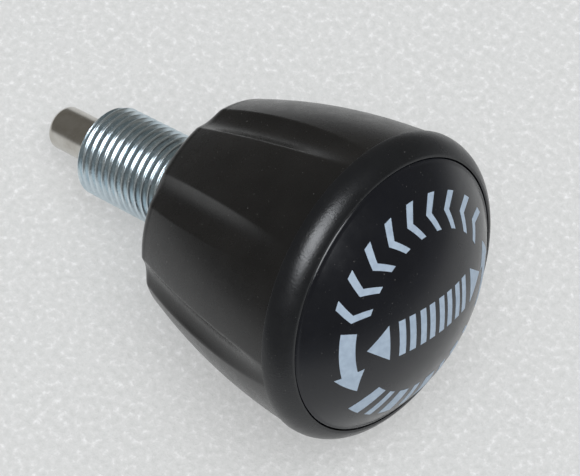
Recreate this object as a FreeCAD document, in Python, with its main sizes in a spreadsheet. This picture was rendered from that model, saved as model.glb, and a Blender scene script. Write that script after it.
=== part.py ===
import FreeCAD, Part
import math
import os
from types import SimpleNamespace

import Sketcher

# Spring-loaded pull pin with a large fluted knob, of the kind that locks a telescoping post.
# X is the axis of the pin and points out through the domed cap, the way the knob is pulled.
# Z is up. The origin is on the axis, at the front end face of the threaded barrel.
# All sizes are in millimetres and degrees.

DRIVING = {
    # threaded barrel
    "thread_diameter": 16.0,
    "thread_start": 1.0,
    "thread_end": 27.0,
    "relief_depth": 0.9,
    "neck_length": 2.5,
    "barrel_length": 44.0,
    "hex_across_flats": 19.0,
    "nose_wall": 4.0,
    "stem_wall": 1.6,
    "bush_seat_depth": 5.0,
    "bush_step": 0.5,
    "mouth_chamfer": 0.4,
    # guide bush and its snap ring
    "bush_length": 3.0,
    "snap_ring_thickness": 1.0,
    "snap_ring_depth": 0.6,
    "snap_ring_width": 1.6,
    "snap_ring_gap": 50.0,
    # plunger pin
    "nose_diameter": 7.6,
    "nose_reach": 10.9,
    "nose_chamfer": 0.7,
    "guide_land_diameter": 8.0,
    "collar_length": 3.0,
    "shank_gap": 0.9,
    "tail_step": 0.5,
    "tail_spare": 1.5,
    # spring
    "wire_diameter": 1.4,
    "spring_turns": 13.0,
    # drive insert in the knob
    "insert_wall": 4.0,
    "insert_end_wall": 2.5,
    "barrel_end_gap": 3.5,
    # knob body
    "knob_start": 26.0,
    "rear_rim_width": 2.15,
    "rear_rim_start": 1.9,
    "rear_shoulder": 3.85,
    "rear_rim_curve": 2.3,
    "mouth_depth": 5.2,
    "pocket_width": 10.1,
    "knob_side_curve": 107.0,
    "lip_thickness": 1.5,
    "lip_step": 2.0,
    "shell_wall": 3.4,
    "shell_floor_depth": 8.0,
    "shell_floor_flare": 2.4,
    "hub_wall": 2.0,
    "hub_web": 4.0,
    "rib_thickness": 1.6,
    "rib_root": 1.1,
    "scoop_count": 8.0,
    "scoop_first_angle": 41.0,
    "scoop_radius": 3.5,
    "scoop_rear_depth": 0.756,
    "scoop_end_land": 2.2,
    "scoop_run_out": 36.0,
    # bezel ring and its screws
    "bezel_step": 0.3,
    "bezel_land": 0.5,
    "bezel_height": 4.3,
    "bezel_lip": 2.8,
    "bezel_curve": 4.4,
    "flange_thickness": 2.0,
    "flange_band": 3.1,
    "ledge_height": 1.3,
    "ledge_width": 2.2,
    "screw_count": 4.0,
    "screw_diameter": 2.5,
    "screw_length": 8.0,
    "screw_point": 0.6,
    "screw_head_diameter": 4.4,
    "screw_head_height": 1.4,
    "boss_radius": 2.4,
    "boss_gap": 0.4,
    # domed cap
    "cap_skirt_wall": 2.0,
    "cap_wall": 1.8,
    "cap_recess": 0.2,
    "cap_rise": 9.0,
    "bead_height": 0.25,
    "bead_width": 1.0,
    # washer and lock nut
    "washer_overhang": 2.5,
    "washer_thickness": 1.0,
    "nut_wall": 1.5,
    "nut_hex_height": 3.6,
    "nut_height": 5.0,
    "nut_collar_wall": 1.1,
    "nylon_depth": 0.7,
    "nylon_thickness": 0.8,
    # clearances
    "running_gap": 0.05,
    "collar_gap": 0.08,
    "hex_gap": 0.2,
    "seat_gap": 0.02,
    "hole_gap": 0.15,
    "spring_gap": 0.2,
    "end_gap": 0.05,
    "cap_gap": 0.2,
    "register_gap": 0.1,
}

# The drive insert keeps less than this share of its volume once its socket is cut.
SOCKET_TEST = 0.8


class Size:
    """A length or an angle: its value now, and the expression over the sheet that gives it."""

    def __init__(self, value, text):
        self.value = float(value)
        self.text = text

    def __add__(self, other):
        other = as_size(other)
        return Size(self.value + other.value, "(%s + %s)" % (self.text, other.text))

    def __sub__(self, other):
        other = as_size(other)
        return Size(self.value - other.value, "(%s - %s)" % (self.text, other.text))

    def __mul__(self, other):
        other = as_size(other)
        return Size(self.value * other.value, "(%s * %s)" % (self.text, other.text))

    def __truediv__(self, other):
        other = as_size(other)
        return Size(self.value / other.value, "(%s / %s)" % (self.text, other.text))

    def __neg__(self):
        return as_size(0.0) - self


def as_size(number):
    if isinstance(number, Size):
        return number
    return Size(number, repr(float(number)))


def square_root(amount):
    return Size(math.sqrt(amount.value), "sqrt(%s)" % amount.text)


doc = FreeCAD.newDocument("pull_pin")


def make_sheet():
    """The driving dimensions, one to a row: its name, then its value under that name."""
    sheet = doc.addObject("Spreadsheet::Sheet", "Dimensions")
    for row, (name, value) in enumerate(DRIVING.items(), start=1):
        sheet.set("A%d" % row, name)
        sheet.set("B%d" % row, str(value))
        sheet.setAlias("B%d" % row, name)
    doc.recompute()
    return SimpleNamespace(**{name: Size(value, "Dimensions." + name) for name, value in DRIVING.items()})


d = make_sheet()

# Places along the axis and radii that several pieces share.
thread_radius = d.thread_diameter / 2
relief_radius = thread_radius - d.relief_depth
hex_start = d.thread_end + d.neck_length
hex_radius = d.hex_across_flats / 2
chamber_radius = relief_radius - d.stem_wall
bush_seat_start = d.barrel_length - d.bush_seat_depth
bush_seat_radius = chamber_radius + d.bush_step
bush_end = bush_seat_start + d.bush_length
ring_groove_end = bush_end + d.snap_ring_thickness + d.end_gap * 2
nose_radius = d.nose_diameter / 2
land_radius = d.guide_land_diameter / 2
nose_bore_radius = land_radius + d.running_gap
collar_radius = chamber_radius - d.collar_gap
collar_end = d.nose_wall + d.collar_length
shank_radius = chamber_radius - d.spring_gap - d.wire_diameter - d.shank_gap
tail_radius = shank_radius - d.tail_step
tail_hole_radius = tail_radius + d.hole_gap
insert_start = d.knob_start + d.lip_thickness
insert_radius = hex_radius + d.insert_wall
shoulder = d.barrel_length + d.barrel_end_gap
insert_end = shoulder + d.insert_end_wall
knob_mouth_radius = hex_radius + d.lip_step
web_front = insert_end + d.hub_web
hub_radius = insert_radius + d.hub_wall
washer_front = web_front + d.washer_thickness
nut_front = washer_front + d.nut_height
tail_end = nut_front + d.tail_spare
knob_front = web_front + d.mouth_depth
shell_floor = d.knob_start + d.shell_floor_depth
rear_rim_radius = hub_radius + d.rear_shoulder
rear_face_radius = rear_rim_radius - d.rear_rim_width
knob_front_radius = hub_radius + d.pocket_width
shell_mouth_radius = knob_front_radius - d.shell_wall
bezel_radius = knob_front_radius + d.bezel_step
bezel_front = knob_front + d.bezel_height
bezel_inner_radius = bezel_radius - d.bezel_lip
flange_back = knob_front - d.flange_thickness
ledge_front = knob_front + d.ledge_height
cap_radius = bezel_inner_radius - d.cap_gap
cap_rim = bezel_front - d.cap_recess
scoop_step = as_size(360.0) / d.scoop_count
screw_radius = d.screw_diameter / 2
screw_circle = hub_radius + d.boss_gap + d.boss_radius
screw_angle = d.scoop_first_angle + scoop_step / 2
flange_inner_radius = screw_circle - d.flange_band
nylon_radius = tail_radius + d.nylon_depth


def new_body(label):
    body = doc.addObject("PartDesign::Body", label)
    body.Label = label
    body.AllowCompound = True
    return body


def origin_feature(body, role):
    return next(feature for feature in body.Origin.OriginFeatures if feature.Role == role)


def new_sketch(body, name, plane, along=None, turn=None):
    """A sketch on one of the body's own planes, shifted by along from it or turned about its X."""
    sketch = body.newObject("Sketcher::SketchObject", name)
    sketch.AttachmentSupport = [(origin_feature(body, plane), "")]
    sketch.MapMode = "FlatFace"
    if along is not None:
        sketch.AttachmentOffset = FreeCAD.Placement(FreeCAD.Vector(0, 0, along.value), FreeCAD.Rotation())
        sketch.setExpression("AttachmentOffset.Base.z", along.text)
    if turn is not None:
        about_x = FreeCAD.Rotation(FreeCAD.Vector(1, 0, 0), turn.value)
        sketch.AttachmentOffset = FreeCAD.Placement(FreeCAD.Vector(), about_x)
        sketch.setExpression("AttachmentOffset.Rotation.Angle", turn.text)
    return sketch


def add_arc(sketch, start, finish, radius, side):
    """An arc from start to finish, with its centre to the left of that way if side is 1, right if -1."""
    chord = finish - start
    left = FreeCAD.Vector(-chord.y, chord.x, 0) / chord.Length
    rise = math.sqrt(radius.value ** 2 - (chord.Length / 2) ** 2)
    centre = (start + finish) * 0.5 + left * (rise * side)
    circle = Part.Circle(centre, FreeCAD.Vector(0, 0, 1), radius.value)
    first, last = (start, finish) if side > 0 else (finish, start)
    begin = math.atan2(first.y - centre.y, first.x - centre.x)
    end = math.atan2(last.y - centre.y, last.x - centre.x)
    if end < begin:
        end += 2 * math.pi
    edge = sketch.addGeometry(Part.ArcOfCircle(circle, begin, end))
    number = sketch.addConstraint(Sketcher.Constraint("Radius", edge, radius.value))
    sketch.renameConstraint(number, "radius_%d" % edge)
    sketch.setExpression("Constraints.radius_%d" % edge, radius.text)
    return (edge, 1, 2) if side > 0 else (edge, 2, 1)


def pin_point(sketch, edge, end, across, up):
    """Hold one end of an edge at its place by two distances from the sketch's origin."""
    for kind, place, axis in (("DistanceX", across, -2), ("DistanceY", up, -1)):
        if place.text == "0.0":
            sketch.addConstraint(Sketcher.Constraint("PointOnObject", edge, end, axis))
            continue
        number = sketch.addConstraint(Sketcher.Constraint(kind, -1, 1, edge, end, place.value))
        name = "%s_%d_%d" % (kind, edge, end)
        sketch.renameConstraint(number, name)
        sketch.setExpression("Constraints." + name, place.text)


def draw_outline(sketch, corners):
    """A closed outline through corners (across, up), with (radius, side) added where an arc leaves one."""
    places = [(as_size(corner[0]), as_size(corner[1])) for corner in corners]
    points = [FreeCAD.Vector(across.value, up.value, 0) for across, up in places]
    ends = []
    for index, corner in enumerate(corners):
        start = points[index]
        finish = points[(index + 1) % len(points)]
        if len(corner) > 2:
            ends.append(add_arc(sketch, start, finish, as_size(corner[2]), corner[3]))
        else:
            ends.append((sketch.addGeometry(Part.LineSegment(start, finish)), 1, 2))
    for index, (edge, first, last) in enumerate(ends):
        following, next_first, _ = ends[(index + 1) % len(ends)]
        sketch.addConstraint(Sketcher.Constraint("Coincident", edge, last, following, next_first))
    for (edge, first, _), (across, up) in zip(ends, places):
        pin_point(sketch, edge, first, across, up)


def add_axis(sketch, start, finish):
    """A construction line in the sketch, which a feature can turn about as Axis0."""
    points = [FreeCAD.Vector(as_size(across).value, as_size(up).value, 0) for across, up in (start, finish)]
    edge = sketch.addGeometry(Part.LineSegment(*points), True)
    for end, (across, up) in zip((1, 2), (start, finish)):
        pin_point(sketch, edge, end, as_size(across), as_size(up))


def turned(body, kind, name, corners, angle=360.0, turn=None, axis=None):
    """A Revolution or a Groove of an outline in the axis plane, about the axis or a line of its own."""
    sketch = new_sketch(body, name + "_outline", "XY_Plane", turn=turn)
    draw_outline(sketch, corners)
    if axis:
        add_axis(sketch, *axis)
    feature = body.newObject("PartDesign::" + kind, name)
    feature.Profile = sketch
    feature.ReferenceAxis = (sketch, ["Axis0" if axis else "H_Axis"])
    feature.Angle = as_size(angle).value
    if isinstance(angle, Size):
        feature.setExpression("Angle", angle.text)
    return feature


def ring(inner, outer, start, end, chamfer=None):
    """The outline of a plain ring, with its two outer corners chamfered if a size is given."""
    if chamfer is None:
        return [(start, inner), (start, outer), (end, outer), (end, inner)]
    rim = outer - chamfer
    rear, front = start + chamfer, end - chamfer
    return [(start, inner), (start, rim), (rear, outer), (front, outer), (end, rim), (end, inner)]


def padded_hexagon(body, name, flats, start, end):
    """A hexagonal prism along the axis, with two flats facing along Y."""
    sketch = new_sketch(body, name + "_outline", "YZ_Plane", along=start)
    draw_outline(sketch, hexagon(flats))
    feature = body.newObject("PartDesign::Pad", name)
    feature.Profile = sketch
    feature.setExpression("Length", (end - start).text)
    return feature


def hexagon(flats):
    half = flats / 2
    corner = flats / math.sqrt(3)
    beside = corner / 2
    return [(0, corner), (-half, beside), (-half, -beside), (0, -corner), (half, -beside), (half, beside)]


def repeat(body, name, feature, count):
    """The same feature again, evenly round the axis."""
    pattern = body.newObject("PartDesign::PolarPattern", name)
    pattern.Originals = [feature]
    pattern.Axis = (origin_feature(body, "X_Axis"), [""])
    pattern.Angle = 360
    pattern.setExpression("Occurrences", count.text)
    body.Tip = pattern
    return pattern


def make_threaded_barrel():
    """The M16 x 1.5 barrel, plain at the thread's major diameter, with its hexagon and stepped bore."""
    body = new_body("threaded_barrel")
    relief_end = d.thread_end + d.relief_depth
    turned(body, "Revolution", "stem", [
        (0, 0),
        (0, thread_radius - d.thread_start),
        (d.thread_start, thread_radius),
        (d.thread_end, thread_radius),
        (relief_end, relief_radius),
        (d.barrel_length, relief_radius),
        (d.barrel_length, 0),
    ])
    padded_hexagon(body, "drive_hexagon", d.hex_across_flats, hex_start, d.barrel_length)
    groove_radius = bush_seat_radius + d.snap_ring_depth + d.end_gap
    turned(body, "Groove", "bore", [
        (0, 0),
        (0, nose_bore_radius + d.mouth_chamfer),
        (d.mouth_chamfer, nose_bore_radius),
        (d.nose_wall, nose_bore_radius),
        (d.nose_wall, chamber_radius),
        (bush_seat_start, chamber_radius),
        (bush_seat_start, bush_seat_radius),
        (bush_end, bush_seat_radius),
        (bush_end, groove_radius),
        (ring_groove_end, groove_radius),
        (ring_groove_end, bush_seat_radius),
        (d.barrel_length, bush_seat_radius),
        (d.barrel_length, 0),
    ])
    return body


def make_guide_bush():
    """The bronze bush at the barrel's inner end, in which the pin's shank slides."""
    body = new_body("guide_bush")
    outer = bush_seat_radius - d.seat_gap
    turned(body, "Revolution", "bush", ring(shank_radius + d.running_gap, outer, bush_seat_start, bush_end))
    return body


def make_bush_snap_ring():
    """The open ring that snaps into the barrel's groove and holds the bush against the spring."""
    body = new_body("bush_snap_ring")
    outer = bush_seat_radius + d.snap_ring_depth
    start = bush_end + d.end_gap
    outline = ring(outer - d.snap_ring_width, outer, start, start + d.snap_ring_thickness)
    turned(body, "Revolution", "open_ring", outline, angle=as_size(360.0) - d.snap_ring_gap)
    return body


def make_plunger_pin():
    """The steel pin: nose, guide land, collar for the spring, shank, and a threaded tail for the nut."""
    body = new_body("plunger_pin")
    tip = -d.nose_reach
    turned(body, "Revolution", "pin", [
        (tip, 0),
        (tip, nose_radius - d.nose_chamfer),
        (tip + d.nose_chamfer, nose_radius),
        (0, nose_radius),
        (0, land_radius),
        (d.nose_wall, land_radius),
        (d.nose_wall, collar_radius),
        (collar_end, collar_radius),
        (collar_end, shank_radius),
        (shoulder, shank_radius),
        (shoulder, tail_radius),
        (tail_end, tail_radius),
        (tail_end, 0),
    ])
    return body


def make_plunger_spring():
    """The compression spring between the pin's collar and the guide bush, drawn at its fitted length."""
    wire_radius = d.wire_diameter / 2
    coil_radius = chamber_radius - d.spring_gap - wire_radius
    start = collar_end + wire_radius + d.end_gap
    height = bush_seat_start - wire_radius - d.end_gap - start
    helix = doc.addObject("Part::Helix", "spring_line")
    helix.setExpression("Height", height.text)
    helix.setExpression("Pitch", (height / d.spring_turns).text)
    helix.setExpression("Radius", coil_radius.text)
    section = doc.addObject("Part::Circle", "wire_section")
    section.setExpression("Radius", wire_radius.text)
    section.Placement = FreeCAD.Placement(
        FreeCAD.Vector(coil_radius.value, 0, 0), FreeCAD.Rotation(FreeCAD.Vector(1, 0, 0), 90))
    section.setExpression("Placement.Base.x", coil_radius.text)
    doc.recompute()
    spring = doc.addObject("Part::Sweep", "plunger_spring")
    spring.Label = "plunger_spring"
    spring.Sections = [section]
    spring.Spine = (helix, ["Edge%d" % (number + 1) for number in range(len(helix.Shape.Edges))])
    spring.Solid = True
    spring.Frenet = True
    spring.Placement = FreeCAD.Placement(
        FreeCAD.Vector(start.value, 0, 0), FreeCAD.Rotation(FreeCAD.Vector(0, 1, 0), 90))
    spring.setExpression("Placement.Base.x", start.text)
    return spring


def make_drive_insert():
    """The metal socket that slides on the barrel's hexagon, with an end wall for the pin's tail."""
    body = new_body("drive_insert")
    outer = insert_radius - d.seat_gap
    outline = ring(tail_hole_radius, outer, insert_start, insert_end, chamfer=d.mouth_chamfer)
    sleeve = turned(body, "Revolution", "sleeve", outline)
    doc.recompute()
    whole_volume = sleeve.Shape.Volume
    sketch = new_sketch(body, "socket_outline", "YZ_Plane", along=insert_start)
    draw_outline(sketch, hexagon(d.hex_across_flats + d.hex_gap * 2))
    socket = body.newObject("PartDesign::Pocket", "socket")
    socket.Profile = sketch
    socket.Reversed = True
    socket.setExpression("Length", (shoulder - insert_start).text)
    doc.recompute()
    if socket.Shape.Volume > whole_volume * SOCKET_TEST:
        raise RuntimeError("the socket did not cut into the drive insert")
    return body


def make_knob_body():
    """The moulded knob: a tapered shell with finger scoops, a hub round the insert, ribs and bosses."""
    body = new_body("knob_body")
    floor_radius = rear_rim_radius - d.shell_wall + d.shell_floor_flare
    turned(body, "Revolution", "shell", [
        (d.knob_start, knob_mouth_radius),
        (d.knob_start, rear_face_radius, d.rear_rim_curve, -1),
        (d.knob_start + d.rear_rim_start, rear_rim_radius, d.knob_side_curve, -1),
        (knob_front, knob_front_radius),
        (knob_front, shell_mouth_radius),
        (flange_back, shell_mouth_radius),
        (shell_floor, floor_radius),
        (shell_floor, hub_radius),
        (web_front, hub_radius),
        (web_front, tail_hole_radius),
        (insert_end, tail_hole_radius),
        (insert_end, insert_radius),
        (insert_start, insert_radius),
        (insert_start, knob_mouth_radius),
    ])
    rib_sketch = new_sketch(body, "rib_outline", "XY_Plane", turn=screw_angle)
    draw_outline(rib_sketch, [
        (shell_floor - d.rib_root, hub_radius - d.rib_root),
        (web_front - d.rib_root, hub_radius - d.rib_root),
        (web_front - d.rib_root, shell_mouth_radius),
        (shell_floor - d.rib_root, floor_radius + d.rib_root / 2),
    ])
    rib = body.newObject("PartDesign::Pad", "rib")
    rib.Profile = rib_sketch
    rib.Midplane = True
    rib.setExpression("Length", d.rib_thickness.text)
    repeat(body, "ribs", rib, d.scoop_count)
    boss_start = shell_floor - d.rib_root
    boss_axis = ((boss_start, screw_circle), (flange_back, screw_circle))
    boss = turned(body, "Revolution", "boss", [
        (boss_start, screw_circle),
        (boss_start, screw_circle + d.boss_radius),
        (flange_back, screw_circle + d.boss_radius),
        (flange_back, screw_circle),
    ], turn=screw_angle, axis=boss_axis)
    repeat(body, "bosses", boss, d.screw_count)
    hole_start = knob_front - d.screw_length
    hole = turned(body, "Groove", "pilot_hole", [
        (hole_start, screw_circle),
        (hole_start, screw_circle + screw_radius + d.seat_gap),
        (flange_back, screw_circle + screw_radius + d.seat_gap),
        (flange_back, screw_circle),
    ], turn=screw_angle, axis=((hole_start, screw_circle), (flange_back, screw_circle)))
    repeat(body, "pilot_holes", hole, d.screw_count)
    scoop = make_scoop(body)
    repeat(body, "scoops", scoop, d.scoop_count)
    return body


def make_scoop(body):
    """A round scoop that is deepest at the rear rim and fades to a point short of the knob's front."""
    floor_end = (knob_front - d.scoop_end_land, knob_front_radius - d.seat_gap)
    rear = (d.knob_start + d.rear_rim_start, rear_rim_radius - d.scoop_rear_depth)
    run, rise = floor_end[0] - rear[0], floor_end[1] - rear[1]
    length = square_root(run * run + rise * rise)
    along, out = run / length, rise / length
    axis_end = (floor_end[0] - out * d.scoop_radius, floor_end[1] + along * d.scoop_radius)
    axis_start = (axis_end[0] - along * d.scoop_run_out, axis_end[1] - out * d.scoop_run_out)
    floor_start = (axis_start[0] + out * d.scoop_radius, axis_start[1] - along * d.scoop_radius)
    outline = [axis_start, floor_start, floor_end, axis_end]
    return turned(body, "Groove", "scoop", outline, turn=d.scoop_first_angle, axis=(axis_start, axis_end))


def make_bezel_ring():
    """The rounded ring at the knob's front: a register, a flange for screws, a recess for the cap."""
    body = new_body("bezel_ring")
    register_radius = shell_mouth_radius - d.register_gap
    groove_start = ledge_front + d.bead_width / 2
    groove_radius = bezel_inner_radius + d.bead_height
    flange_front = flange_back + d.flange_thickness
    turned(body, "Revolution", "bezel", [
        (flange_back, flange_inner_radius),
        (flange_back, register_radius),
        (knob_front, register_radius),
        (knob_front, bezel_radius),
        (knob_front + d.bezel_land, bezel_radius, d.bezel_curve, -1),
        (bezel_front, bezel_inner_radius + d.mouth_chamfer),
        (bezel_front, bezel_inner_radius),
        (groove_start + d.bead_width, bezel_inner_radius),
        (groove_start + d.bead_width / 2, groove_radius),
        (groove_start, bezel_inner_radius),
        (ledge_front, bezel_inner_radius),
        (ledge_front, bezel_inner_radius - d.ledge_width),
        (flange_front, bezel_inner_radius - d.ledge_width),
        (flange_front, flange_inner_radius),
    ])
    hole_radius = screw_radius + d.hole_gap
    hole = turned(body, "Groove", "screw_hole", [
        (flange_back, screw_circle),
        (flange_back, screw_circle + hole_radius),
        (flange_front, screw_circle + hole_radius),
        (flange_front, screw_circle),
    ], turn=screw_angle, axis=((flange_back, screw_circle), (flange_front, screw_circle)))
    repeat(body, "screw_holes", hole, d.screw_count)
    return body


def make_bezel_screws():
    """The pan-head screws that hold the bezel ring to the knob's bosses, all in one node."""
    body = new_body("bezel_screws")
    seat = flange_back + d.flange_thickness
    tip = seat - d.screw_length + d.end_gap
    head = screw_circle + d.screw_head_diameter / 2
    screw = turned(body, "Revolution", "screw", [
        (tip, screw_circle),
        (tip + d.screw_point, screw_circle + screw_radius),
        (seat, screw_circle + screw_radius),
        (seat, head),
        (seat + d.screw_head_height / 2, head),
        (seat + d.screw_head_height, head - d.screw_head_height / 2),
        (seat + d.screw_head_height, screw_circle),
    ], turn=screw_angle, axis=((tip, screw_circle), (seat, screw_circle)))
    repeat(body, "screws", screw, d.screw_count)
    return body


def make_dome_cap():
    """The domed cap that snaps into the bezel ring and hides the nut and the screws."""
    body = new_body("dome_cap")
    curve = (cap_radius * cap_radius + d.cap_rise * d.cap_rise) / (d.cap_rise * 2)
    apex = cap_rim + d.cap_rise
    skirt_radius = cap_radius - d.cap_skirt_wall
    inner_curve = curve - d.cap_wall
    centre = apex - curve
    inner_edge = centre + square_root(inner_curve * inner_curve - skirt_radius * skirt_radius)
    bead_start = ledge_front + d.bead_width / 2
    turned(body, "Revolution", "dome", [
        (apex, 0),
        (apex - d.cap_wall, 0, inner_curve, 1),
        (inner_edge, skirt_radius),
        (ledge_front, skirt_radius),
        (ledge_front, cap_radius),
        (bead_start, cap_radius),
        (bead_start + d.bead_width / 2, cap_radius + d.bead_height),
        (bead_start + d.bead_width, cap_radius),
        (cap_rim, cap_radius, curve, -1),
    ])
    return body


def make_flat_washer():
    body = new_body("flat_washer")
    outline = ring(tail_hole_radius, tail_radius + d.washer_overhang, web_front, washer_front)
    turned(body, "Revolution", "washer", outline)
    return body


def make_lock_nut():
    """The lock nut on the pin's tail, with a round collar that holds its nylon ring."""
    body = new_body("lock_nut")
    hexagon_end = washer_front + d.nut_hex_height
    bore_radius = tail_radius + d.seat_gap
    collar = ring(0, tail_radius + d.nut_collar_wall, washer_front, nut_front, chamfer=d.mouth_chamfer)
    turned(body, "Revolution", "collar", collar)
    padded_hexagon(body, "nut_hexagon", (tail_radius + d.nut_wall) * 2, washer_front, hexagon_end)
    turned(body, "Groove", "nut_bore", [
        (washer_front, 0),
        (washer_front, bore_radius),
        (hexagon_end, bore_radius),
        (hexagon_end, nylon_radius),
        (hexagon_end + d.nylon_thickness, nylon_radius),
        (hexagon_end + d.nylon_thickness, bore_radius),
        (nut_front, bore_radius),
        (nut_front, 0),
    ])
    return body


def make_lock_nut_insert():
    """The nylon ring inside the lock nut."""
    body = new_body("lock_nut_insert")
    start = washer_front + d.nut_hex_height
    outline = ring(tail_radius + d.seat_gap, nylon_radius - d.seat_gap, start, start + d.nylon_thickness)
    turned(body, "Revolution", "nylon_ring", outline)
    return body


def check_document():
    """Stop if any object of the document failed, because a failed feature raises nothing by itself."""
    for item in doc.Objects:
        if "Invalid" in item.State or "Error" in item.State:
            raise RuntimeError("%s is %s" % (item.Label, item.State))


def write_parts(subparts):
    for item in subparts:
        if item.Shape.isNull() or not item.Shape.isValid() or not item.Shape.Solids:
            raise RuntimeError("%s has no valid solid" % item.Label)
    os.makedirs("parts", exist_ok=True)
    for item in subparts:
        item.Shape.exportStep("parts/%s.step" % item.Label)
        box = item.Shape.BoundBox
        print("%-16s solids %d  volume %9.1f  x %6.2f to %6.2f  radius %5.2f" % (
            item.Label, len(item.Shape.Solids), item.Shape.Volume, box.XMin, box.XMax, box.YMax))


subparts = [
    make_threaded_barrel(),
    make_guide_bush(),
    make_bush_snap_ring(),
    make_plunger_pin(),
    make_plunger_spring(),
    make_drive_insert(),
    make_knob_body(),
    make_bezel_ring(),
    make_bezel_screws(),
    make_dome_cap(),
    make_flat_washer(),
    make_lock_nut(),
    make_lock_nut_insert(),
]
doc.recompute()
check_document()
write_parts(subparts)
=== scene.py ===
import math

import bmesh
import bpy
import numpy as np
from mathutils import Matrix, Vector


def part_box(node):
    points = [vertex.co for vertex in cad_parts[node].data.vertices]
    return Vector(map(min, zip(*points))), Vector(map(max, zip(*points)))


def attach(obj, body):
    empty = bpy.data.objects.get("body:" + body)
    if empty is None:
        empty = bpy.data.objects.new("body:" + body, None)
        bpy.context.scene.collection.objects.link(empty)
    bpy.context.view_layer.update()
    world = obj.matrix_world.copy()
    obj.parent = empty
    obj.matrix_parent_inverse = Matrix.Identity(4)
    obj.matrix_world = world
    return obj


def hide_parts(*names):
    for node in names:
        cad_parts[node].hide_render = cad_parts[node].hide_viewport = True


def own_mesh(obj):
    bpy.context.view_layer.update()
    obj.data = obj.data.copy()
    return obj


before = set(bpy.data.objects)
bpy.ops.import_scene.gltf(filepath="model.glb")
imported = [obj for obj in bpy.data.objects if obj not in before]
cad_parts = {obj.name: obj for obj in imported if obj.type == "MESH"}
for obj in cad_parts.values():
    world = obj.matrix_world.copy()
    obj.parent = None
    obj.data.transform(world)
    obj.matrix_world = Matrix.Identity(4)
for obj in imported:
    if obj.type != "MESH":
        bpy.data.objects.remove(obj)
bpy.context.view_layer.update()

# A spring-loaded pull pin with a fluted knob. X is its axis and points out through the domed cap.
# Sizes below are in millimetres and degrees, and MM turns them into the scene's metres.

MM = 0.001
MICRON = 0.000001


def span(node):
    """Where a CAD node starts and ends along the axis, and its largest radius, in millimetres."""
    low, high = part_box(node)
    return low.x / MM, high.x / MM, high.y / MM


barrel_end, hex_apothem = span("threaded_barrel")[1:]
pin_tip, pin_tail_end, collar_radius = span("plunger_pin")
knob_rear, knob_front, knob_front_radius = span("knob_body")
flange_back, bezel_front, bezel_radius = span("bezel_ring")
ledge_front, dome_apex = span("dome_cap")[:2]
spring_start, spring_end, spring_radius = span("plunger_spring")
insert_start, insert_end, insert_radius = span("drive_insert")
bush_start = span("guide_bush")[0]

THREAD_RADIUS = 8.0
THREAD_PITCH = 1.5
THREAD_DEPTH = 0.92
THREAD_END = 27.0
THREAD_CHAMFER = 1.0
# The flats of the thread's profile, as shares of its pitch.
CREST_FLAT = 0.125
ROOT_FLAT = 0.25
HEX_START = 29.5
HEX_CORNER_DEPTH = 0.6
HEX_CORNER_START = 0.4
HEX_CORNER_SLOPE = 1.7
CHAMBER_RADIUS = 5.5
BUSH_SEAT_RADIUS = 6.0
NOSE_WALL = 4.0
NOSE_BORE_RADIUS = 4.05
NOSE_BORE_CHAMFER = 0.4
NOSE_RADIUS = 3.8
NOSE_CHAMFER = 0.7
LAND_RADIUS = 4.0
COLLAR_END = 7.0
SHANK_RADIUS = 3.0
TAIL_RADIUS = 2.5
SHOULDER = 47.5
WIRE_RADIUS = 0.7
SPRING_TURNS = 13
# How far apart the closed end turns lie, in wire thicknesses.
CLOSED_TURN = 1.04

REAR_FACE_RADIUS = 17.2
REAR_RIM_START = 1.9
REAR_RIM_RADIUS = 19.35
REAR_RIM_CURVE = 2.3
SIDE_CURVE = 107.0
MOUTH_RADIUS = 11.5
HUB_RADIUS = 15.5
SHELL_WALL = 3.4
SHELL_FLOOR = 34.0
WEB_FRONT = 54.0
TAIL_HOLE_RADIUS = 2.65
SCOOP_COUNT = 8
SCOOP_FIRST_ANGLE = 41.0
SCOOP_RADIUS = 3.5
SCOOP_TILT = 13.5
SCOOP_END = 57.0
SCOOP_SOFTNESS = 1.7

BEZEL_LAND = 0.5
BEZEL_INNER_RADIUS = 23.1
BEZEL_CURVE = 4.4
FLANGE_THICKNESS = 2.0
FLANGE_INNER_RADIUS = 15.2
LEDGE_RADIUS = 20.9
CAP_RADIUS = 22.9
CAP_RIM = 63.3
CAP_WALL = 1.8
CAP_SKIRT_WALL = 2.0

CAP_RISE = dome_apex - CAP_RIM
DOME_CURVE = (CAP_RADIUS ** 2 + CAP_RISE ** 2) / (2 * CAP_RISE)
DOME_CENTRE = dome_apex - DOME_CURVE


# ---------------------------------------------------------------- outlines

def arc(start, finish, radius, side, steps):
    """Points of an arc from start to finish. Its centre lies left of that way if side is 1, right if -1."""
    start, finish = np.array(start, float), np.array(finish, float)
    chord = finish - start
    length = np.hypot(*chord)
    left = np.array([-chord[1], chord[0]]) / length
    centre = (start + finish) / 2 + left * side * math.sqrt(radius ** 2 - length ** 2 / 4)
    first = math.atan2(*(start - centre)[::-1])
    last = math.atan2(*(finish - centre)[::-1])
    if side > 0 and last < first:
        last += 2 * math.pi
    if side < 0 and last > first:
        last -= 2 * math.pi
    angles = np.linspace(first, last, steps + 1)
    return [(centre[0] + radius * math.cos(a), centre[1] + radius * math.sin(a)) for a in angles]


def eased(corners, steps=4):
    """A closed outline of (x, r) corners; a corner given as (x, r, size) is rounded by a small curve."""
    points = []
    count = len(corners)
    for index, corner in enumerate(corners):
        here = np.array(corner[:2], float)
        if len(corner) < 3:
            points.append(tuple(here))
            continue
        before = np.array(corners[index - 1][:2], float)
        after = np.array(corners[(index + 1) % count][:2], float)
        into = here + (before - here) / np.hypot(*(before - here)) * corner[2]
        out = here + (after - here) / np.hypot(*(after - here)) * corner[2]
        for t in np.linspace(0, 1, steps + 1):
            points.append(tuple((1 - t) ** 2 * into + 2 * t * (1 - t) * here + t ** 2 * out))
    return points


# ---------------------------------------------------------------- meshes

MERGE_DISTANCE = 0.0005 * MM


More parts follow.
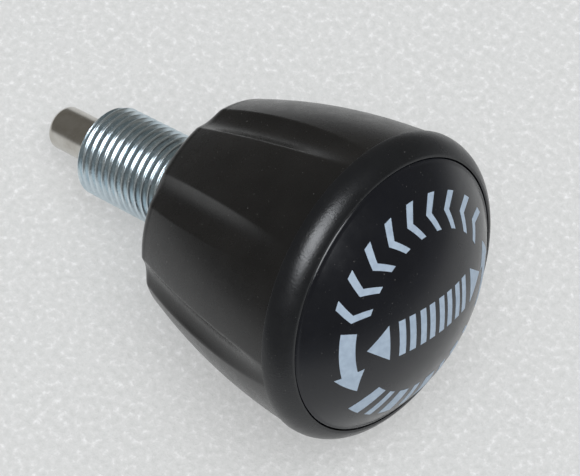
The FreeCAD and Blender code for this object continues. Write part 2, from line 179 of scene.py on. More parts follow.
def finished(name, vertices, faces, sharp_angle=38.0):
    """A mesh object from millimetre vertices: doubles merged, normals out, smooth but for sharp edges."""
    mesh = bpy.data.meshes.new(name)
    mesh.from_pydata([(x * MM, y * MM, z * MM) for x, y, z in vertices], [], faces)
    piece = bpy.data.objects.new(name, mesh)
    bpy.context.scene.collection.objects.link(piece)
    shape = bmesh.new()
    shape.from_mesh(mesh)
    bmesh.ops.remove_doubles(shape, verts=shape.verts, dist=MERGE_DISTANCE)
    bmesh.ops.dissolve_degenerate(shape, edges=shape.edges, dist=MERGE_DISTANCE)
    bmesh.ops.recalc_face_normals(shape, faces=shape.faces)
    for face in shape.faces:
        face.smooth = True
    limit = math.radians(sharp_angle)
    for edge in shape.edges:
        edge.smooth = len(edge.link_faces) == 2 and edge.calc_face_angle(0) < limit
    shape.to_mesh(mesh)
    shape.free()
    return piece


def lathe(name, outline, segments, shape=None, sharp_angle=38.0):
    """A closed outline turned about the axis. shape(x, r, angle) may change the radius round the axis."""
    vertices = []
    for step in range(segments):
        angle = 2 * math.pi * step / segments
        for x, r in outline:
            radius = shape(x, r, angle) if shape else r
            vertices.append((x, radius * math.cos(angle), radius * math.sin(angle)))
    count = len(outline)
    faces = []
    for step in range(segments):
        here, there = step * count, (step + 1) % segments * count
        for index in range(count):
            following = (index + 1) % count
            faces.append((here + index, here + following, there + following, there + index))
    return finished(name, vertices, faces, sharp_angle)


def joined(name, pieces):
    """Several mesh pieces made one object."""
    shape = bmesh.new()
    for piece in pieces:
        shape.from_mesh(piece.data)
    mesh = bpy.data.meshes.new(name)
    shape.to_mesh(mesh)
    shape.free()
    for piece in pieces:
        bpy.data.objects.remove(piece)
    result = bpy.data.objects.new(name, mesh)
    bpy.context.scene.collection.objects.link(result)
    return result


# ---------------------------------------------------------------- the knob

def smooth_least(a, b, softness):
    """The smaller of two numbers, with the corner between them rounded over softness."""
    near = max(softness - abs(a - b), 0.0) / softness
    return min(a, b) - near * near * softness / 4


def scooped(x, r, angle):
    """The knob's radius where the nearest finger scoop, a tilted round channel, cuts into it."""
    step = 2 * math.pi / SCOOP_COUNT
    away = (angle - math.radians(SCOOP_FIRST_ANGLE) + step / 2) % step - step / 2
    tilt = math.radians(SCOOP_TILT)
    floor = knob_front_radius + (x - SCOOP_END) * math.tan(tilt)
    axis = floor + SCOOP_RADIUS / math.cos(tilt)
    a = (math.cos(away) * math.cos(tilt)) ** 2 + math.sin(away) ** 2
    b = axis * math.cos(away) * math.cos(tilt) ** 2
    c = (axis * math.cos(tilt)) ** 2 - SCOOP_RADIUS ** 2
    inside = b * b - a * c
    if inside < 0:
        return r
    return smooth_least(r, (b - math.sqrt(inside)) / a, SCOOP_SOFTNESS)


def make_knob_body():
    """The knob's moulded shell, its web and its hub round the insert, with the scoops cut in."""
    rim = (knob_rear + REAR_RIM_START, REAR_RIM_RADIUS)
    front = (knob_front, knob_front_radius)
    mouth_radius = knob_front_radius - SHELL_WALL
    floor_radius = REAR_RIM_RADIUS - SHELL_WALL + (SHELL_FLOOR - knob_rear) * 0.3
    side = arc(rim, front, SIDE_CURVE, -1, 110)
    outline = [(knob_rear, MOUTH_RADIUS + 0.4), (knob_rear, REAR_FACE_RADIUS - 1.5)]
    outline += arc((knob_rear, REAR_FACE_RADIUS), rim, REAR_RIM_CURVE, -1, 12)[:-1]
    outline += side[:-1]
    edge = 0.12
    corner = (knob_front - edge, knob_front_radius), (knob_front, knob_front_radius - edge)
    outline += arc(*corner, edge, -1, 4)
    outline += [
        (knob_front, mouth_radius),
        (flange_back, mouth_radius),
        (SHELL_FLOOR, floor_radius),
        (SHELL_FLOOR, HUB_RADIUS),
        (WEB_FRONT, HUB_RADIUS),
        (WEB_FRONT, TAIL_HOLE_RADIUS),
        (insert_end, TAIL_HOLE_RADIUS),
        (insert_end, insert_radius + 0.02),
        (insert_start, insert_radius + 0.02),
        (insert_start, MOUTH_RADIUS),
        (knob_rear + 0.4, MOUTH_RADIUS),
    ]
    return lathe("knob_shell", outline, 640, shape=scooped)


def make_bezel():
    """The rounded ring round the knob's front, with its register, flange and ledge for the cap."""
    land_end = knob_front + BEZEL_LAND
    register = knob_front_radius - SHELL_WALL - 0.1
    flange_front = flange_back + FLANGE_THICKNESS
    edge = 0.12
    outline = [
        (flange_back, FLANGE_INNER_RADIUS),
        (flange_back, register),
        (knob_front, register),
        (knob_front, bezel_radius - edge),
    ]
    outline += arc((knob_front, bezel_radius - edge), (knob_front + edge, bezel_radius), edge, -1, 4)[1:]
    outline += arc((land_end, bezel_radius), (bezel_front, BEZEL_INNER_RADIUS + 0.4), BEZEL_CURVE, -1, 28)
    outline += [
        (bezel_front, BEZEL_INNER_RADIUS),
        (ledge_front, BEZEL_INNER_RADIUS),
        (ledge_front, LEDGE_RADIUS),
        (flange_front, LEDGE_RADIUS),
        (flange_front, FLANGE_INNER_RADIUS),
    ]
    return lathe("bezel", outline, 288, sharp_angle=50.0)


def make_cap():
    """The domed cap: a thin shell with a rounded rim and a skirt that stands in the bezel."""
    skirt_radius = CAP_RADIUS - CAP_SKIRT_WALL
    inner_curve = DOME_CURVE - CAP_WALL
    inner_edge = DOME_CENTRE + math.sqrt(inner_curve ** 2 - skirt_radius ** 2)
    edge = 0.45
    shoulder_radius = CAP_RADIUS - edge
    shoulder = DOME_CENTRE + math.sqrt(DOME_CURVE ** 2 - shoulder_radius ** 2)
    outline = arc((dome_apex, 0), (shoulder, shoulder_radius), DOME_CURVE, 1, 72)[:-1]
    outline = [(x, max(r, 0.0)) for x, r in outline]
    outline += arc((shoulder, shoulder_radius), (CAP_RIM - edge, CAP_RADIUS), 0.6, 1, 8)
    outline += [
        (ledge_front, CAP_RADIUS),
        (ledge_front, skirt_radius),
    ]
    outline += [(x, max(r, 0.0)) for x, r in
                arc((inner_edge, skirt_radius), (dome_apex - CAP_WALL, 0), inner_curve, -1, 24)]
    return lathe("cap", outline, 288, sharp_angle=60.0)


# ---------------------------------------------------------------- the barrel, pin and spring

def thread_height(phase):
    """How far the thread stands above its root, as a share, for a share of a pitch from the crest."""
    from_root = 0.5 - abs((phase + 0.5) % 1.0 - 0.5)
    flank_width = 0.5 - (ROOT_FLAT + CREST_FLAT) / 2
    flank = min(max((from_root - ROOT_FLAT / 2) / flank_width, 0.0), 1.0)
    rolled = 0.5 + 0.5 * math.cos(2 * math.pi * phase)
    return (flank + rolled) / 2


def make_stem():
    """The threaded stem: helical rows of vertices follow the thread, and are cut off at its two ends."""
    around, rows = 160, 14
    end = HEX_START
    pitches = int(math.ceil(end / THREAD_PITCH)) + 1
    total = pitches * rows + 1
    root = THREAD_RADIUS - THREAD_DEPTH
    vertices = []
    for row in range(total):
        for column in range(around):
            angle = 2 * math.pi * column / around
            x = THREAD_PITCH * (row / rows + column / around - 1)
            radius = root + THREAD_DEPTH * thread_height(row / rows)
            chamfer = THREAD_RADIUS - THREAD_CHAMFER + x
            runout = THREAD_RADIUS - max(x - THREAD_END, 0.0)
            radius = max(min(radius, chamfer, runout), min(root, chamfer))
            if x <= 0:
                x, radius = 0.0, THREAD_RADIUS - THREAD_CHAMFER
            if x >= end:
                x, radius = end, root
            vertices.append((x, radius * math.cos(angle), radius * math.sin(angle)))
    faces = []
    for row in range(total - 1):
        for column in range(around):
            here = row * around + column
            if column + 1 < around:
                faces.append((here, here + 1, here + around + 1, here + around))
            elif row + rows + 1 < total:
                other = (row + rows) * around
                faces.append((here, other, other + around, here + around))
    base = len(vertices)
    rings = [
        (0.0, THREAD_RADIUS - THREAD_CHAMFER),
        (0.0, NOSE_BORE_RADIUS + NOSE_BORE_CHAMFER),
        (NOSE_BORE_CHAMFER, NOSE_BORE_RADIUS),
        (NOSE_WALL, NOSE_BORE_RADIUS),
        (NOSE_WALL, CHAMBER_RADIUS),
        (end, CHAMBER_RADIUS),
        (end, root),
    ]
    for x, radius in rings:
        for column in range(around):
            angle = 2 * math.pi * column / around
            vertices.append((x, radius * math.cos(angle), radius * math.sin(angle)))
    for ring in range(len(rings) - 1):
        for column in range(around):
            here = base + ring * around + column
            there = base + ring * around + (column + 1) % around
            faces.append((here, there, there + around, here + around))
    return finished("stem", vertices, faces, sharp_angle=55.0)


def hexagonal(x, r, angle):
    """The drive hexagon's radius round the axis, with its corners turned off at each end."""
    if r < BUSH_SEAT_RADIUS + 1.0:
        return r
    sector = math.pi / 3
    away = (angle + sector / 2) % sector - sector / 2
    flat = hex_apothem / math.cos(away)
    from_end = min(x - HEX_START, barrel_end - x)
    cone = hex_apothem + HEX_CORNER_START + from_end * HEX_CORNER_SLOPE
    return min(flat, cone)


def make_drive_head():
    """The barrel's hexagonal inner end, with the seat for the guide bush."""
    outline = [
        (HEX_START, CHAMBER_RADIUS),
        (HEX_START, hex_apothem),
        (HEX_START + HEX_CORNER_DEPTH, hex_apothem),
        (barrel_end - HEX_CORNER_DEPTH, hex_apothem),
        (barrel_end, hex_apothem),
        (barrel_end, BUSH_SEAT_RADIUS),
        (bush_start, BUSH_SEAT_RADIUS),
        (bush_start, CHAMBER_RADIUS),
    ]
    return lathe("drive_head", outline, 192, shape=hexagonal, sharp_angle=25.0)


def make_plunger():
    """The steel pin from its nose to its tail, with its edges broken as turning leaves them."""
    outline = eased([
        (pin_tip, 0),
        (pin_tip, NOSE_RADIUS - NOSE_CHAMFER, 0.25),
        (pin_tip + NOSE_CHAMFER, NOSE_RADIUS, 0.45),
        (0, NOSE_RADIUS),
        (0, LAND_RADIUS),
        (NOSE_WALL, LAND_RADIUS),
        (NOSE_WALL, collar_radius, 0.15),
        (COLLAR_END, collar_radius, 0.15),
        (COLLAR_END, SHANK_RADIUS),
        (SHOULDER, SHANK_RADIUS, 0.15),
        (SHOULDER, TAIL_RADIUS),
        (pin_tail_end, TAIL_RADIUS, 0.4),
        (pin_tail_end, 0),
    ])
    return lathe("plunger", outline, 128, sharp_angle=30.0)


def make_spring():
    """A coil of round wire whose end turns are closed up."""
    around, per_turn = 14, 36
    coil_radius = spring_radius - WIRE_RADIUS
    start, end = spring_start + WIRE_RADIUS, spring_end - WIRE_RADIUS
    closed = 2 * WIRE_RADIUS * CLOSED_TURN
    total = SPRING_TURNS * per_turn
    open_pitch = (end - start - 2 * closed) / (SPRING_TURNS - 2)
    vertices = []
    for step in range(total + 1):
        turns = step / per_turn
        first = min(turns, 1.0) * closed
        middle = min(max(turns - 1.0, 0.0), SPRING_TURNS - 2) * open_pitch
        last = max(turns - (SPRING_TURNS - 1), 0.0) * closed
        x = start + first + middle + last
        angle = 2 * math.pi * turns
        out = Vector((0, math.cos(angle), math.sin(angle)))
        centre = Vector((x, 0, 0)) + out * coil_radius
        for corner in range(around):
            turn = 2 * math.pi * corner / around
            along = Vector((WIRE_RADIUS * math.sin(turn), 0, 0))
            vertices.append(tuple(centre + out * WIRE_RADIUS * math.cos(turn) + along))
    faces = [tuple(range(around)), tuple(range(total * around, (total + 1) * around))]
    for step in range(total):
        for corner in range(around):
            here, there = step * around + corner, step * around + (corner + 1) % around
            faces.append((here, there, there + around, here + around))
    return finished("coil_spring", vertices, faces)


# ---------------------------------------------------------------- the printed marks

# The marks stand turned by PRINT_TURN degrees, and their ring and row are sized in millimetres.
PRINT_TURN = -10.5
PRINT_LIFT = 0.03
PRINT_RING = 16.3
RING_HEIGHT = 5.2
ROW_HEIGHT = 6.6
ARROW_HEAD_ANGLE = 15.0
ARROW_HALF_SHAFT = 1.15
ARROW_HALF_HEAD = 2.2
CHEVRON_COUNT = 9
CHEVRON_FIRST = 152.0
CHEVRON_STEP = -15.5
CHEVRON_DEPTH = 6.0
CHEVRON_STROKE = 4.6
RING_BAR_COUNT = 8
RING_BAR_FIRST = 224.0
RING_BAR_STEP = 13.2
RING_BAR_WIDTHS = (9.0, 5.0)
ROW_BAR_PAIRS = (-6.3, -2.1, 2.1, 6.3)
ROW_BAR_WIDTH = 1.2
ROW_BAR_OFFSET = 1.0
ROW_HEAD_BASE = 9.6
ROW_HEAD_TIP = 13.4


def on_dome(across, up, lift):
    """A point over the cap, from two distances in the print's own turned frame."""
    turn = math.radians(PRINT_TURN)
    y = across * math.cos(turn) - up * math.sin(turn)
    z = across * math.sin(turn) + up * math.cos(turn)
    radius = DOME_CURVE + lift
    return (DOME_CENTRE + math.sqrt(radius ** 2 - y * y - z * z), y, z)


def patch(vertices, faces, place, columns, rows):
    """A thin closed tile on the dome. place(u, v) maps a unit square to the print's own frame."""
    base = len(vertices)
    layer = (columns + 1) * (rows + 1)
    for lift in (PRINT_LIFT, -PRINT_LIFT):
        for row in range(rows + 1):
            for column in range(columns + 1):
                vertices.append(on_dome(*place(column / columns, row / rows), lift))

    def at(column, row, below=0):
        return base + below * layer + row * (columns + 1) + column

    for row in range(rows):
        for column in range(columns):
            quad = [(column, row), (column + 1, row), (column + 1, row + 1), (column, row + 1)]
            faces.append([at(*corner) for corner in quad])
            faces.append([at(*corner, 1) for corner in reversed(quad)])
    edge = [(column, 0) for column in range(columns)]
    edge += [(columns, row) for row in range(rows)]
    edge += [(columns - column, rows) for column in range(columns)]
    edge += [(0, rows - row) for row in range(rows)]
    for here, there in zip(edge, edge[1:] + edge[:1]):
        faces.append([at(*here), at(*here, 1), at(*there, 1), at(*there)])


def round_axis(radius, degrees):
    """A point of the print's frame from its distance and angle about the axis."""
    return radius * math.cos(math.radians(degrees)), radius * math.sin(math.radians(degrees))


def curved_arrow(vertices, faces, start, finish):
    """A bold arrow that curves along the ring of marks from one angle to the other."""
    way = 1 if finish > start else -1
    neck = finish - way * ARROW_HEAD_ANGLE

    def body(u, v):
        return round_axis(PRINT_RING + (v - 0.5) * 2 * ARROW_HALF_SHAFT, start + (neck - start) * u)

    def point(u, v):
        across = (v - 0.5) * 2 * ARROW_HALF_HEAD * (1 - u)
        return round_axis(PRINT_RING + across, neck + (finish - neck) * u)

    patch(vertices, faces, body, 24, 4)
    patch(vertices, faces, point, 10, 6)


def chevron(vertices, faces, middle, way):
    """An open chevron on the ring that points along it."""
    def place(u, v):
        swing = CHEVRON_DEPTH * (1 - abs(2 * v - 1)) + CHEVRON_STROKE * u
        angle = middle + way * (swing - CHEVRON_DEPTH / 2)
        return round_axis(PRINT_RING + (v - 0.5) * RING_HEIGHT, angle)

    patch(vertices, faces, place, 3, 12)


def ring_bar(vertices, faces, middle, width):
    """A bar across the ring, its middle and width in degrees."""
    def place(u, v):
        return round_axis(PRINT_RING + (v - 0.5) * RING_HEIGHT, middle + (u - 0.5) * width)

    patch(vertices, faces, place, 4, 6)


def row_bar(vertices, faces, middle, width):
    """An upright bar of the row, its middle and width in millimetres."""
    def place(u, v):
        return middle + (u - 0.5) * width, (v - 0.5) * ROW_HEIGHT

    patch(vertices, faces, place, 3, 6)


def row_head(vertices, faces, base, tip):
    """A triangular arrow head at an end of the row."""
    def place(u, v):
        return base + (tip - base) * u, (v - 0.5) * ROW_HEIGHT * (1 - u)

    patch(vertices, faces, place, 6, 6)


def make_print():
    """Generic turn and pull marks: two curved arrows, chevrons, bars and a two-headed row."""
    vertices, faces = [], []
    curved_arrow(vertices, faces, 166.0, 209.0)
    curved_arrow(vertices, faces, -29.0, 14.0)
    for index in range(CHEVRON_COUNT):
        chevron(vertices, faces, CHEVRON_FIRST + index * CHEVRON_STEP, 1)
    for index in range(RING_BAR_COUNT):
        ring_bar(vertices, faces, RING_BAR_FIRST + index * RING_BAR_STEP, RING_BAR_WIDTHS[index % 2])
    row_head(vertices, faces, -ROW_HEAD_BASE, -ROW_HEAD_TIP)
    row_head(vertices, faces, ROW_HEAD_BASE, ROW_HEAD_TIP)
    for middle in ROW_BAR_PAIRS:
        row_bar(vertices, faces, middle - ROW_BAR_OFFSET, ROW_BAR_WIDTH)
        row_bar(vertices, faces, middle + ROW_BAR_OFFSET, ROW_BAR_WIDTH)
    return finished("cap_print", vertices, faces, sharp_angle=50.0)


# ---------------------------------------------------------------- materials

PLASTIC_IOR = 1.49
DUST_COLOUR = (0.09, 0.088, 0.085, 1)
# Stretches the marks on turned metal round its axis.
TURNED = (9.0, 0.6, 0.6)


def new_material(name, **sockets):
    """A material with a Principled shader whose even values are set on the shader's own sockets."""
    material = bpy.data.materials.new(name)
    material.use_nodes = True
    shader = material.node_tree.nodes["Principled BSDF"]
    for socket, value in sockets.items():
        shader.inputs[socket.replace("_", " ")].default_value = value
    return material, material.node_tree, shader


def noise(tree, scale, detail=3.0, roughness=0.5, stretch=None):
    """Noise over the piece's own coordinates, which are metres, so scale is in marks a metre."""
    place = tree.nodes.new("ShaderNodeTexCoord")
    texture = tree.nodes.new("ShaderNodeTexNoise")
    texture.inputs["Scale"].default_value = scale
    texture.inputs["Detail"].default_value = detail
    texture.inputs["Roughness"].default_value = roughness
    source = place.outputs["Object"]
    if stretch:
        mapping = tree.nodes.new("ShaderNodeMapping")
        mapping.inputs["Scale"].default_value = stretch
        tree.links.new(source, mapping.inputs["Vector"])
        source = mapping.outputs["Vector"]
    tree.links.new(source, texture.inputs["Vector"])
    return texture.outputs["Fac"]


def ramp(tree, source, stops):
    """A colour ramp of (place, colour) stops."""
    node = tree.nodes.new("ShaderNodeValToRGB")
    elements = node.color_ramp.elements
    for index, (place, colour) in enumerate(stops):
        element = elements[index] if index < 2 else elements.new(place)
        element.position = place
        element.color = (*colour, 1.0) if len(colour) == 3 else colour
    tree.links.new(source, node.inputs["Fac"])
    return node.outputs["Color"]


def spread(tree, source, low, high):
    """A number from low to high that follows source from 0.3 to 0.7."""
    node = tree.nodes.new("ShaderNodeMapRange")
    node.inputs["From Min"].default_value = 0.3
    node.inputs["From Max"].default_value = 0.7
    node.inputs["To Min"].default_value = low
    node.inputs["To Max"].default_value = high
    tree.links.new(source, node.inputs["Value"])
    return node.outputs["Result"]


def bump(tree, shader, source, distance, strength=1.0, under=None):
    """Relief of a given height in metres, on top of an earlier bump if one is given."""
    node = tree.nodes.new("ShaderNodeBump")
    node.inputs["Distance"].default_value = distance
    node.inputs["Strength"].default_value = strength
    tree.links.new(source, node.inputs["Height"])
    if under is not None:
        tree.links.new(under.outputs["Normal"], node.inputs["Normal"])
    tree.links.new(node.outputs["Normal"], shader.inputs["Normal"])
    return node


def moulded_plastic(name, dark, light, roughness, grain, grain_depth):
    """Black moulded plastic: fine spark-eroded grain, slow colour drift, and specks of dust."""
    material, tree, shader = new_material(name, Specular_IOR_Level=0.5, IOR=PLASTIC_IOR)
    drift = ramp(tree, noise(tree, 160.0, 4.0), [(0.35, dark), (0.7, light)])
    dust = noise(tree, 2600.0, 2.0, 0.4)
    specks = ramp(tree, dust, [(0.0, (0, 0, 0)), (0.735, (0, 0, 0)), (0.78, (1, 1, 1))])
    mix = tree.nodes.new("ShaderNodeMixRGB")
    mix.inputs["Color2"].default_value = DUST_COLOUR
    tree.links.new(specks, mix.inputs["Fac"])
    tree.links.new(drift, mix.inputs["Color1"])
    tree.links.new(mix.outputs["Color"], shader.inputs["Base Color"])
    fine = noise(tree, grain, 2.0, 0.6)
    worn = noise(tree, 420.0, 5.0, 0.6)
    tree.links.new(spread(tree, worn, roughness - 0.04, roughness + 0.05), shader.inputs["Roughness"])
    under = bump(tree, shader, fine, grain_depth)
    bump(tree, shader, worn, 5 * MICRON, 0.6, under)
    return material


def metal(name, colours, roughness, stretch=None, grain=1800.0, depth=4 * MICRON):
    """Metal whose tint and gloss drift a little, with fine marks that may be stretched one way."""
    material, tree, shader = new_material(name, Metallic=1.0)
    stops = list(zip((0.3, 0.5, 0.7), colours))
    tint = ramp(tree, noise(tree, 260.0, 4.0, 0.6), stops)
    tree.links.new(tint, shader.inputs["Base Color"])
    marks = noise(tree, grain, 4.0, 0.6, stretch)
    tree.links.new(spread(tree, marks, roughness[0], roughness[1]), shader.inputs["Roughness"])
    bump(tree, shader, marks, depth)
    return material


knob_plastic = moulded_plastic(
    "knob_plastic", dark=(0.0072, 0.0070, 0.0070), light=(0.0105, 0.0100, 0.0098),
    roughness=0.27, grain=5200.0, grain_depth=5 * MICRON)
bezel_plastic = moulded_plastic(
    "bezel_plastic", dark=(0.0064, 0.0074, 0.0092), light=(0.0090, 0.0100, 0.0122),
    roughness=0.29, grain=3400.0, grain_depth=30 * MICRON)
cap_plastic = moulded_plastic(
    "cap_plastic", dark=(0.0042, 0.0052, 0.0086), light=(0.0060, 0.0072, 0.0112),
    roughness=0.23, grain=4200.0, grain_depth=5 * MICRON)
zinc = metal(
    "bright_zinc", [(0.53, 0.64, 0.70), (0.66, 0.76, 0.82), (0.75, 0.84, 0.88)],
    roughness=(0.20, 0.28), depth=1 * MICRON)
pin_steel = metal(
    "pin_steel", [(0.48, 0.46, 0.42), (0.58, 0.56, 0.52), (0.66, 0.65, 0.62)],
    roughness=(0.14, 0.26), stretch=TURNED, depth=2 * MICRON)
spring_wire = metal(
    "spring_wire", [(0.30, 0.30, 0.32), (0.42, 0.42, 0.43), (0.50, 0.50, 0.50)],
    roughness=(0.25, 0.38))
bronze = metal(
    "sintered_bronze", [(0.42, 0.28, 0.13), (0.60, 0.42, 0.20), (0.70, 0.52, 0.28)],
    roughness=(0.40, 0.55), grain=4200.0)
cast_metal = metal(
    "cast_insert", [(0.40, 0.41, 0.42), (0.52, 0.53, 0.54), (0.60, 0.60, 0.60)],
    roughness=(0.42, 0.58), grain=2600.0, depth=10 * MICRON)
fastener = metal(
    "fastener_zinc", [(0.55, 0.58, 0.62), (0.68, 0.70, 0.72), (0.76, 0.76, 0.74)],
    roughness=(0.26, 0.40))


def make_ink():
    """Pale blue printing ink, slightly uneven."""
    material, tree, shader = new_material("print_ink", Specular_IOR_Level=0.4)
    tint = ramp(tree, noise(tree, 900.0, 3.0), [(0.3, (0.36, 0.45, 0.56)), (0.65, (0.44, 0.54, 0.65))])
    tree.links.new(tint, shader.inputs["Base Color"])
    worn = noise(tree, 3000.0, 3.0)
    tree.links.new(spread(tree, worn, 0.42, 0.6), shader.inputs["Roughness"])
    bump(tree, shader, worn, 6 * MICRON)
    return material


def make_nylon():
    """The pale nylon of the lock nut's ring."""
    material, tree, shader = new_material("nylon", Subsurface_Weight=0.2)
    tint = ramp(tree, noise(tree, 700.0), [(0.3, (0.60, 0.68, 0.76)), (0.7, (0.72, 0.79, 0.85))])
    tree.links.new(tint, shader.inputs["Base Color"])
    bump(tree, shader, noise(tree, 4000.0), 6 * MICRON)
    return material


def dress(piece, material):
    """Gives a piece one material in place of those it has."""
    piece.data.materials.clear()
    piece.data.materials.append(material)


# ---------------------------------------------------------------- pieces onto the frame

def place_piece(piece, body, material, slot, *nodes):
    """Dresses a piece, rides it on its body, and lets it stand for the CAD nodes named."""
    dress(piece, material)
    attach(piece, body)
    if nodes:
        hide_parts(*nodes)
    return piece


place_piece(make_knob_body(), "knob_unit", knob_plastic, "knob_plastic", "knob_body")
place_piece(make_bezel(), "knob_unit", bezel_plastic, "bezel_plastic", "bezel_ring")
place_piece(make_cap(), "knob_unit", cap_plastic, "cap_plastic", "dome_cap")
place_piece(make_print(), "knob_unit", make_ink(), "nylon")
place_piece(make_plunger(), "knob_unit", pin_steel, "pin_steel", "plunger_pin")
barrel = joined("barrel", [make_stem(), make_drive_head()])
place_piece(barrel, "barrel_unit", zinc, "zinc_plate", "threaded_barrel")
spring = make_spring()
place_piece(spring, "barrel_unit", spring_wire, "spring_steel", "plunger_spring")
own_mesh(spring)

for node, material in {
    "guide_bush": bronze,
    "bush_snap_ring": spring_wire,
    "drive_insert": cast_metal,
    "bezel_screws": fastener,
    "flat_washer": fastener,
    "lock_nut": fastener,
    "lock_nut_insert": make_nylon(),
}.items():
    dress(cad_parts[node], material)


# ---------------------------------------------------------------- floor, light and camera

# The knob lies on its tapered side, near the rear rim, so the floor tips up towards the barrel.
FLOOR_TILT = 17.2
FLOOR_LEAN = -6.9
# The stretch of the knob's side that may touch the floor.
SIDE_START = 28.0
SIDE_END = 59.0
# The floor's size and the distances between which its reflection dims, in metres from the knob.
FLOOR_SIZE = 1.6
FADE_START = 0.075
FADE_END = 0.24
# How much of its light the far floor loses in glossy reflections, and its colour there.
FADE_LOSS = 0.75
FAR_FLOOR_COLOUR = (0.12, 0.12, 0.12, 1)
FLOOR_GLOW = 0.38
FLOOR_BEAD_SCALE = 820.0

# The room's light as surfaces and the camera see it, and as glossy reflections see it.
ROOM_STRENGTH = 0.54
ROOM_COLOUR = (0.95, 0.97, 1.0, 1)
REFLECTED_STRENGTH = 0.17
REFLECTED_COLOUR = (1.0, 0.96, 0.88, 1)

# The camera's backward and upward directions. It stands 60 degrees over the floor, upright to it.
AIM = Vector((41.1, 0.5, 0.3)) * MM
CAMERA_BACK = Vector((0.55885, -0.47136, 0.68228)).normalized()
CAMERA_UP = Vector((-0.37704, 0.58836, 0.71531))
CAMERA_DISTANCE = 0.4632
CAMERA_LENS = 179.65


def floor_frame():
    """Unit vectors over the floor: its normal, the axis laid on it, and the way across both."""
    lean, tilt = math.radians(FLOOR_LEAN), math.radians(FLOOR_TILT)
    normal = Vector((math.sin(tilt), math.cos(tilt) * math.sin(lean), math.cos(tilt) * math.cos(lean)))
    along = (Vector((1, 0, 0)) - normal * normal.x).normalized()
    return normal, along, normal.cross(along)


floor_normal, floor_along, floor_across = floor_frame()


def side_radius(x):
    """The knob's radius between its scoops."""
    rim = (knob_rear + REAR_RIM_START, REAR_RIM_RADIUS)
    points = arc(rim, (knob_front, knob_front_radius), SIDE_CURVE, -1, 60)
    return float(np.interp(x, [p[0] for p in points], [p[1] for p in points]))


def lowest_point():
    """The point of the knob's side that lies lowest over the floor."""
    down = Vector((0, floor_normal.y, floor_normal.z)).normalized() * -1
    side = np.linspace(SIDE_START, SIDE_END, 63)
    places = [Vector((x, 0, 0)) + down * side_radius(x) for x in side]
    return min(places, key=lambda place: place.dot(floor_normal)) * MM


def make_floor():
    """A pale beaded floor under the knob. It is clear from below, so it hides nothing."""
    bpy.ops.mesh.primitive_grid_add(x_subdivisions=4, y_subdivisions=4, size=FLOOR_SIZE)
    floor = bpy.context.object
    floor.name = "floor"
    turn = Matrix((floor_along, floor_across, floor_normal)).transposed().to_4x4()
    floor.matrix_world = Matrix.Translation(lowest_point()) @ turn
    material, tree, shader = new_material("pale_floor", Roughness=0.8, Specular_IOR_Level=0.2)
    beads = noise(tree, FLOOR_BEAD_SCALE, 3.0, 0.6)
    tint_stops = [(0.32, (0.345, 0.35, 0.345)), (0.56, (0.39, 0.395, 0.39)), (0.76, (0.54, 0.54, 0.54))]
    tint = ramp(tree, beads, tint_stops)
    glow_stops = [(0.32, (0.92, 0.93, 0.92)), (0.6, (1, 1, 1)), (0.76, (1.16, 1.17, 1.18))]
    glow_tint = ramp(tree, beads, glow_stops)
    place = tree.nodes.new("ShaderNodeTexCoord")
    far = tree.nodes.new("ShaderNodeVectorMath")
    far.operation = "LENGTH"
    tree.links.new(place.outputs["Object"], far.inputs[0])
    fade = tree.nodes.new("ShaderNodeMapRange")
    fade.interpolation_type = "SMOOTHSTEP"
    fade.inputs["From Min"].default_value = FADE_START
    fade.inputs["From Max"].default_value = FADE_END
    fade.inputs["To Min"].default_value = 1.0
    path = tree.nodes.new("ShaderNodeLightPath")
    least = tree.nodes.new("ShaderNodeMath")
    least.operation = "MULTIPLY_ADD"
    least.inputs[1].default_value = -FADE_LOSS
    least.inputs[2].default_value = 1.0
    tree.links.new(path.outputs["Is Glossy Ray"], least.inputs[0])
    tree.links.new(least.outputs["Value"], fade.inputs["To Max"])
    tree.links.new(far.outputs["Value"], fade.inputs["Value"])
    glow_strength = tree.nodes.new("ShaderNodeMath")
    glow_strength.operation = "MULTIPLY"
    glow_strength.inputs[1].default_value = FLOOR_GLOW
    tree.links.new(fade.outputs["Result"], glow_strength.inputs[0])
    far_tint = tree.nodes.new("ShaderNodeMixRGB")
    far_tint.inputs["Color1"].default_value = FAR_FLOOR_COLOUR
    tree.links.new(fade.outputs["Result"], far_tint.inputs["Fac"])
    tree.links.new(tint, far_tint.inputs["Color2"])
    tree.links.new(far_tint.outputs["Color"], shader.inputs["Base Color"])
    tree.links.new(glow_tint, shader.inputs["Emission Color"])
    tree.links.new(glow_strength.outputs["Value"], shader.inputs["Emission Strength"])
    bump(tree, shader, beads, 0.0006, 0.6)
    side = tree.nodes.new("ShaderNodeNewGeometry")
    clear = tree.nodes.new("ShaderNodeBsdfTransparent")
    mix = tree.nodes.new("ShaderNodeMixShader")
    tree.links.new(side.outputs["Backfacing"], mix.inputs["Fac"])
    tree.links.new(shader.outputs["BSDF"], mix.inputs[1])
    tree.links.new(clear.outputs["BSDF"], mix.inputs[2])
    tree.links.new(mix.outputs["Shader"], tree.nodes["Material Output"].inputs["Surface"])
    dress(floor, material)


def over_floor(azimuth, elevation):
    """A direction over the floor: azimuth from the knob's axis towards +Y, elevation up from the floor."""
    azimuth, elevation = math.radians(azimuth), math.radians(elevation)
    level = floor_along * math.cos(azimuth) + floor_across * math.sin(azimuth)
    return level * math.cos(elevation) + floor_normal * math.sin(elevation)


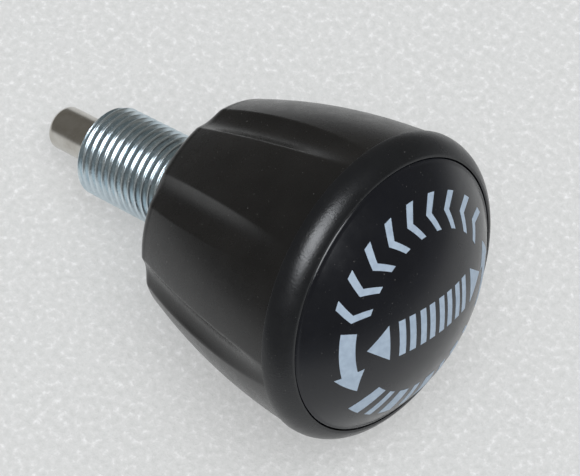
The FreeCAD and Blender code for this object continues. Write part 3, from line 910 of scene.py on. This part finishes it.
def add_light(name, azimuth, elevation, distance, size, power, colour=(1, 1, 1)):
    """A round soft light that points at the object."""
    light = bpy.data.lights.new(name, "AREA")
    light.shape = "DISK"
    light.size = size
    light.energy = power
    light.color = colour
    lamp = bpy.data.objects.new(name, light)
    bpy.context.scene.collection.objects.link(lamp)
    direction = over_floor(azimuth, elevation)
    lamp.location = AIM + direction * distance
    lamp.rotation_euler = direction.to_track_quat("Z", "Y").to_euler()
    return lamp


def make_camera():
    """The camera at the photo's angle."""
    camera = bpy.data.objects.new("camera", bpy.data.cameras.new("camera"))
    bpy.context.scene.collection.objects.link(camera)
    camera.data.lens = CAMERA_LENS
    camera.data.sensor_width = 36.0
    camera.data.clip_start = 0.01
    right = CAMERA_UP.cross(CAMERA_BACK).normalized()
    up = CAMERA_BACK.cross(right)
    turn = Matrix((right, up, CAMERA_BACK)).transposed().to_4x4()
    camera.matrix_world = Matrix.Translation(AIM + CAMERA_BACK * CAMERA_DISTANCE) @ turn
    bpy.context.scene.camera = camera


def make_world():
    """Even light from all round for the floor, and a dimmer room for glossy surfaces to reflect."""
    world = bpy.data.worlds.new("studio")
    bpy.context.scene.world = world
    world.use_nodes = True
    tree = world.node_tree
    room = tree.nodes["Background"]
    room.inputs["Color"].default_value = ROOM_COLOUR
    room.inputs["Strength"].default_value = ROOM_STRENGTH
    reflected = tree.nodes.new("ShaderNodeBackground")
    reflected.inputs["Color"].default_value = REFLECTED_COLOUR
    reflected.inputs["Strength"].default_value = REFLECTED_STRENGTH
    path = tree.nodes.new("ShaderNodeLightPath")
    mix = tree.nodes.new("ShaderNodeMixShader")
    tree.links.new(path.outputs["Is Glossy Ray"], mix.inputs["Fac"])
    tree.links.new(room.outputs["Background"], mix.inputs[1])
    tree.links.new(reflected.outputs["Background"], mix.inputs[2])
    tree.links.new(mix.outputs["Shader"], tree.nodes["World Output"].inputs["Surface"])


make_floor()
make_world()
# The key lights matt surfaces only, and the glow is what glossy ones reflect.
key = add_light("key_light", azimuth=-30.0, elevation=72.0, distance=0.9, size=0.70, power=4.0)
key.visible_glossy = False
glow = add_light("glow_light", azimuth=-36.0, elevation=66.0, distance=0.9, size=0.66, power=9.0,
                 colour=(0.93, 0.96, 1.0))
glow.visible_diffuse = False
make_camera()
bpy.context.scene.view_settings.view_transform = "Standard"
